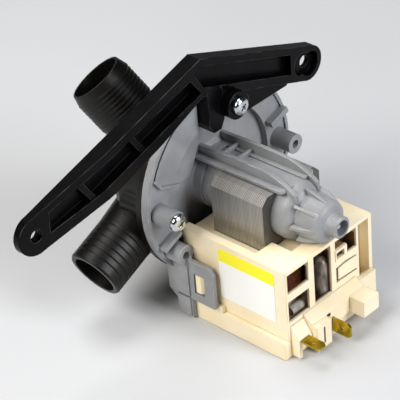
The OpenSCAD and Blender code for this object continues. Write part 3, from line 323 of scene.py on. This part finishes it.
# enamelled copper: dark red-brown under a clear gloss, a little different from turn to turn
wire = dict(tones=("#3f1d11", "#824726"), toneStops=(0.3, 0.72), turn=1.1, metallic=0.55,
            rough=0.32, coat=0.8, coatRough=0.12)
tree, place = startMaterial("enamelledCopperWire")
patch = addNode(tree, "ShaderNodeTexNoise",
                {"Scale": perMm(wire["turn"]), "Detail": softDetail}, {"Vector": place})
tone = addNode(tree, "ShaderNodeValToRGB", {"stops": zip(wire["toneStops"], wire["tones"])},
               {"Fac": patch.outputs["Fac"]})
shader = addNode(tree, "ShaderNodeBsdfPrincipled",
                 {"Metallic": wire["metallic"], "Roughness": wire["rough"],
                  "Coat Weight": wire["coat"], "Coat Roughness": wire["coatRough"]},
                 {"Base Color": tone.outputs["Color"]})
addNode(tree, "ShaderNodeOutputMaterial", {}, {"Surface": shader.outputs["BSDF"]})

# sleeving: cloudy silicone over the lead, smoky shrunk film over the fuse, both with milky
# streaks and a soft gloss; streak in millimetres
sleeves = {
    "drawnSiliconeSleeve": dict(
        tones=("#a49d94", "#d2ccc2"), streak=(2.4, 2.4, 2.4), rough=0.34, ior=1.41),
    "shrunkPolyolefinSleeve": dict(
        tones=("#5a5048", "#b3a79b"), streak=(1.8, 1.8, 6), rough=0.2, ior=1.5),
}
film = dict(toneStops=(0.32, 0.7), clear=0.3)
for name, look in sleeves.items():
    tree, place = startMaterial(name)
    stretch = addNode(tree, "ShaderNodeMapping",
                      {"Scale": [perMm(size) for size in look["streak"]]}, {"Vector": place})
    streak = addNode(tree, "ShaderNodeTexNoise", {"Scale": 1.0, "Detail": fineDetail},
                     {"Vector": stretch.outputs["Vector"]})
    tone = addNode(tree, "ShaderNodeValToRGB", {"stops": zip(film["toneStops"], look["tones"])},
                   {"Fac": streak.outputs["Fac"]})
    shader = addNode(tree, "ShaderNodeBsdfPrincipled",
                     {"Roughness": look["rough"], "IOR": look["ior"],
                      "Transmission Weight": film["clear"]},
                     {"Base Color": tone.outputs["Color"]})
    addNode(tree, "ShaderNodeOutputMaterial", {}, {"Surface": shader.outputs["BSDF"]})

# bare sticker of white polyester film with a printed yellow band along its top, slightly glossy
# with a faint ripple; band, ripple and bump height in millimetres
sticker = dict(white="#f8f8f5", yellow="#fff400", band=5.4, ripple=0.8, rough=(0.26, 0.4),
               bump=0.08, bumpHeight=0.02, ior=1.5)
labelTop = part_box("rating_label")[1].z
tree, place = startMaterial("printedPolyesterFilm")
axes = addNode(tree, "ShaderNodeSeparateXYZ", {}, {"Vector": place})
above = addNode(tree, "ShaderNodeMath",
                {"operation": "GREATER_THAN", 1: labelTop - sticker["band"] * mm},
                {0: axes.outputs["Z"]})
ink = addNode(tree, "ShaderNodeMixRGB",
              {"Color1": sticker["white"], "Color2": sticker["yellow"]},
              {"Fac": above.outputs["Value"]})
ripple = addNode(tree, "ShaderNodeTexNoise",
                 {"Scale": perMm(sticker["ripple"]), "Detail": softDetail}, {"Vector": place})
rough = addNode(tree, "ShaderNodeMapRange",
                {"To Min": sticker["rough"][0], "To Max": sticker["rough"][1]},
                {"Value": ripple.outputs["Fac"]})
bump = addNode(tree, "ShaderNodeBump",
               {"Strength": sticker["bump"], "Distance": sticker["bumpHeight"] * mm},
               {"Height": ripple.outputs["Fac"]})
shader = addNode(tree, "ShaderNodeBsdfPrincipled", {"IOR": sticker["ior"]},
                 {"Base Color": ink.outputs["Color"], "Roughness": rough.outputs["Result"],
                  "Normal": bump.outputs["Normal"]})
addNode(tree, "ShaderNodeOutputMaterial", {}, {"Surface": shader.outputs["BSDF"]})
print("materials mixed:", len(materials))

finishes = {
    "mouldedBlackPolypropylene": ["mounting_bracket"],
    "talcFilledBlackPolypropylene": ["volute_body"],
    "mouldedGreyPolypropylene": ["motor_flange", "bearing_holder"],
    "creamPolyesterShadedInside": ["coil_cover"],
    "mouldedCreamPolyester": ["terminal_base"],
    "mouldedBrownPolyamide": ["bobbin_near", "bobbin_far"],
    "mouldedWhiteAcetal": ["impeller", "impeller_cap", "drive_dog", "magnet_carrier",
                           "thrust_washers"],
    "mouldedBlackRubber": ["chamber_seal", "shaft_seal", "rear_grommet"],
    "punchedElectricalSteel": ["stator_core"],
    "stampedBrass": ["terminal_flat", "terminal_upright"],
    "zincPlatedSteel": ["flange_screws", "bracket_screw", "thermal_fuse"],
    "groundSteel": ["rotor_shaft"],
    "sinteredBronze": ["front_bearing", "rear_bearing"],
    "sinteredFerrite": ["magnet"],
    "enamelledCopperWire": ["winding_near", "winding_far"],
    "drawnSiliconeSleeve": ["lead_sleeve"],
    "shrunkPolyolefinSleeve": ["fuse_sleeve"],
    "printedPolyesterFilm": ["rating_label"],
}
for finish, members in finishes.items():
    for member in members:
        nodes[member].data.materials.clear()
        nodes[member].data.materials.append(materials[finish])


def smoothFaces(mesh, sharp):
    for face in mesh.polygons:
        face.use_smooth = True
    mesh.set_sharp_from_angle(angle=math.radians(sharp))


def addPiece(name, mesh, finish, body):
    piece = bpy.data.objects.new(name, mesh)
    bpy.context.scene.collection.objects.link(piece)
    mesh.materials.clear()
    mesh.materials.append(materials[finish])
    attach(piece, body)
    return piece


# pan-head screws with a cross recess, in millimetres; a seat is x, y, z and the turn in degrees
screw = dict(headRadius=3.6, headHeight=2.5, headEdge=0.15, rimShare=0.36, domePower=0.55,
             domeStep=10, shank=1.5, tip=-14.3, tipRadius=1.0, tipLength=0.8,
             slotWidth=1.1, slotLength=4.2, slotDepth=1.5, slotFoot=0.55, steps=48, sharp=35)
screwSets = {
    "flangeScrews": dict(node="flange_screws",
                         seats=[(9.32, -10.75, -26.3, 20), (7.52, 51.65, -45.003, 65)]),
    "bracketScrew": dict(node="bracket_screw", seats=[(11.12, 24.6085, 7.254, 38)]),
}


def screwMesh(name, seats):
    r, h, shank = screw["headRadius"], screw["headHeight"], screw["shank"]
    headEdge, rim = screw["headEdge"], h * screw["rimShare"]
    shell = bmesh.new()
    cuts = bmesh.new()
    for x, y, z, turn in seats:
        # outline of shank and head (distance from axis, height), turned round the screw's axis
        end = screw["tip"] - x
        outline = [(0, end), (screw["tipRadius"], end), (shank, end + screw["tipLength"]),
                   (shank, 0), (r - headEdge, 0), (r, headEdge), (r, rim)]
        for climb in range(screw["domeStep"], 90, screw["domeStep"]):
            a = math.radians(climb)
            outline.append((r * math.cos(a) ** screw["domePower"], rim + (h - rim) * math.sin(a)))
        outline.append((0, h))
        rings = []
        for radius, height in outline:
            count = 1 if radius == 0 else screw["steps"]
            angles = [2 * math.pi * k / count for k in range(count)]
            rings.append([shell.verts.new((x + height, y + radius * math.cos(a),
                                           z + radius * math.sin(a))) for a in angles])
        for low, high in zip(rings, rings[1:]):
            for k in range(screw["steps"]):
                corners = (low[k % len(low)], low[(k + 1) % len(low)],
                           high[(k + 1) % len(high)], high[k % len(high)])
                shell.faces.new(list(dict.fromkeys(corners)))  # three corners at either end
        for arm in (0, 90):
            spin = (Matrix.Translation((x + h, y, z))
                    @ Matrix.Rotation(math.radians(turn + arm), 4, "X"))
            for v in bmesh.ops.create_cube(cuts, size=1)["verts"]:
                foot = screw["slotFoot"] if v.co.x < 0 else 1  # arms taper towards the bottom
                v.co = spin @ Vector((v.co.x * screw["slotDepth"] * 2,
                                      v.co.y * screw["slotLength"] * foot,
                                      v.co.z * screw["slotWidth"] * foot))
    bmesh.ops.recalc_face_normals(shell, faces=shell.faces)
    drafts = []
    for solid in (shell, cuts):
        for v in solid.verts:
            v.co *= mm
        mesh = bpy.data.meshes.new(name)
        solid.to_mesh(mesh)
        solid.free()
        drafts.append(bpy.data.objects.new(name + "Draft", mesh))
        bpy.context.scene.collection.objects.link(drafts[-1])
    cut = drafts[0].modifiers.new("recess", "BOOLEAN")
    cut.object = drafts[1]
    cut.solver = "EXACT"
    cut.use_self = True
    bpy.context.view_layer.update()
    finished = drafts[0].evaluated_get(bpy.context.evaluated_depsgraph_get())
    mesh = bpy.data.meshes.new_from_object(finished)
    for draft in drafts:
        bpy.data.objects.remove(draft)
    smoothFaces(mesh, screw["sharp"])
    return mesh


for name, screws in screwSets.items():
    mesh = screwMesh(name, screws["seats"])
    piece = addPiece(name, mesh, "zincPlatedSteel", "pump")
    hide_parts(screws["node"])
print("screws turned")

# windings: one unbroken wire in close turns over the filled inner layers, in millimetres
coil = dict(wireDiameter=0.42, turns=38, corner=2.6, sides=6, cornerSteps=5, endGap=0.05,
            fill=0.36, fillDepth=2.8, fillGap=0.1, sharp=65)


def windingMesh(name, node):
    low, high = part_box(node)
    centre = (low + high) / 2 / mm
    half = (high - low) / 2 / mm
    r = coil["wireDiameter"] / 2
    bend = coil["corner"]
    # one turn as points and outward directions
    loop = []
    for quarter, (sx, sy) in enumerate(((1, 1), (-1, 1), (-1, -1), (1, -1))):
        pivot = Vector((sx * (half.x - r - bend), sy * (half.y - r - bend), 0))
        for k in range(coil["cornerSteps"] + 1):
            a = math.radians(90 * quarter + 90 * k / coil["cornerSteps"])
            normal = Vector((math.cos(a), math.sin(a), 0))
            loop.append((pivot + bend * normal, normal))
    bottom = -half.z + r + coil["endGap"]
    climb = -2 * bottom / coil["turns"]
    build = bmesh.new()
    rings = []
    for turn in range(coil["turns"]):
        for step, (point, normal) in enumerate(loop):
            rise = bottom + climb * (turn + step / len(loop))
            core = centre + point + Vector((0, 0, rise))
            ring = []
            for k in range(coil["sides"]):
                b = 2 * math.pi * k / coil["sides"]
                spoke = math.cos(b) * normal + math.sin(b) * Vector((0, 0, 1))
                ring.append(build.verts.new((core + r * spoke) * mm))
            rings.append(ring)
    for first, second in zip(rings, rings[1:]):
        for k in range(coil["sides"]):
            n = (k + 1) % coil["sides"]
            build.faces.new((first[k], second[k], second[n], first[n]))
    build.faces.new(rings[0])
    build.faces.new(list(reversed(rings[-1])))
    # inner layers: a closed wall just under the wire
    top = half.z - coil["fillGap"]
    outer, inner = coil["fill"] - r, coil["fillDepth"] - r
    wall = []
    for depth, height in ((outer, -top), (outer, top), (inner, top), (inner, -top)):
        spots = [point - normal * depth for point, normal in loop]
        wall.append([build.verts.new((centre + Vector((spot.x, spot.y, height))) * mm)
                     for spot in spots])
    for ring, following in zip(wall, wall[1:] + wall[:1]):
        for k in range(len(ring)):
            n = (k + 1) % len(ring)
            build.faces.new((ring[k], ring[n], following[n], following[k]))
    bmesh.ops.recalc_face_normals(build, faces=build.faces)
    mesh = bpy.data.meshes.new(name)
    build.to_mesh(mesh)
    build.free()
    smoothFaces(mesh, coil["sharp"])
    return mesh


for name, node in (("windingNear", "winding_near"), ("windingFar", "winding_far")):
    mesh = windingMesh(name, node)
    piece = addPiece(name, mesh, "enamelledCopperWire", "pump")
    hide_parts(node)
print("coils wound:", coil["turns"], "turns each")

# plain pale floor of rolled vinyl, faintly mottled and dull, large enough to fill the view;
# half its width in metres, mottle and drop below the part in millimetres
ground = dict(tones=("#bec0c4", "#c6c8cb"), mottle=240, rough=0.7, half=2.4, drop=0.1)
tree, place = startMaterial("rolledVinylFloor")
mottle = addNode(tree, "ShaderNodeTexNoise",
                 {"Scale": perMm(ground["mottle"]), "Detail": softDetail}, {"Vector": place})
tone = addNode(tree, "ShaderNodeValToRGB", {"stops": zip(toneStops, ground["tones"])},
               {"Fac": mottle.outputs["Fac"]})
shader = addNode(tree, "ShaderNodeBsdfPrincipled", {"Roughness": ground["rough"]},
                 {"Base Color": tone.outputs["Color"]})
addNode(tree, "ShaderNodeOutputMaterial", {}, {"Surface": shader.outputs["BSDF"]})
half = ground["half"]
floorMesh = bpy.data.meshes.new("floor")
floorMesh.from_pydata([(-half, -half, 0), (half, -half, 0), (half, half, 0), (-half, half, 0)],
                      [], [(0, 1, 2, 3)])
floorMesh.materials.append(materials["rolledVinylFloor"])
floor = bpy.data.objects.new("floor", floorMesh)
floor.location.z = cadBox[0].z - ground["drop"] * mm
bpy.context.scene.collection.objects.link(floor)

# soft studio light, aimed at the middle of the part: place and size in metres, power in watts
lamps = {
    "leftBox": dict(place=(-0.19, -0.95, 0.82), size=(0.7, 0.8), power=17.5, tint="#fffaf2"),
    "rightBox": dict(place=(1.1, 0.2, 0.58), size=(0.5, 0.9), power=15, tint="#fbfcff"),
    "topBox": dict(place=(-0.35, 0.1, 1.2), size=(0.6, 0.6), power=9, tint="#ffffff"),
}
middle = (cadBox[0] + cadBox[1]) / 2
for name, lamp in lamps.items():
    data = bpy.data.lights.new(name, "AREA")
    data.shape = "RECTANGLE"
    data.size, data.size_y = lamp["size"]
    data.energy = lamp["power"]
    data.color = linear(lamp["tint"])[:3]
    light = bpy.data.objects.new(name, data)
    light.location = lamp["place"]
    light.rotation_euler = (middle - light.location).to_track_quat("-Z", "Y").to_euler()
    bpy.context.scene.collection.objects.link(light)
air = dict(tint="#eef1f5", strength=0.02)  # faint even light from all round
world = bpy.data.worlds.new("studioAir")
world.use_nodes = True
backdrop = world.node_tree.nodes["Background"]
backdrop.inputs["Color"].default_value = linear(air["tint"])
backdrop.inputs["Strength"].default_value = air["strength"]
bpy.context.scene.world = world
bpy.context.scene.view_settings.view_transform = "Standard"  # colours stay as given

# camera at the photograph's angle: place, lens and sensor in millimetres
view = dict(place=(430.2, -405.25, 362.4), right=(0.728, 0.682, -0.074), up=(-0.332, 0.445, 0.832),
            lens=169.7, sensor=36)
cameraData = bpy.data.cameras.new("camera")
cameraData.lens = view["lens"]
cameraData.sensor_width = view["sensor"]
camera = bpy.data.objects.new("camera", cameraData)
right = Vector(view["right"]).normalized()
back = right.cross(Vector(view["up"])).normalized()
up = back.cross(right)
aim = Matrix((right, up, back)).transposed().to_4x4()
camera.matrix_world = Matrix.Translation(Vector(view["place"]) * mm) @ aim
bpy.context.scene.collection.objects.link(camera)
bpy.context.scene.camera = camera
print("stage set")
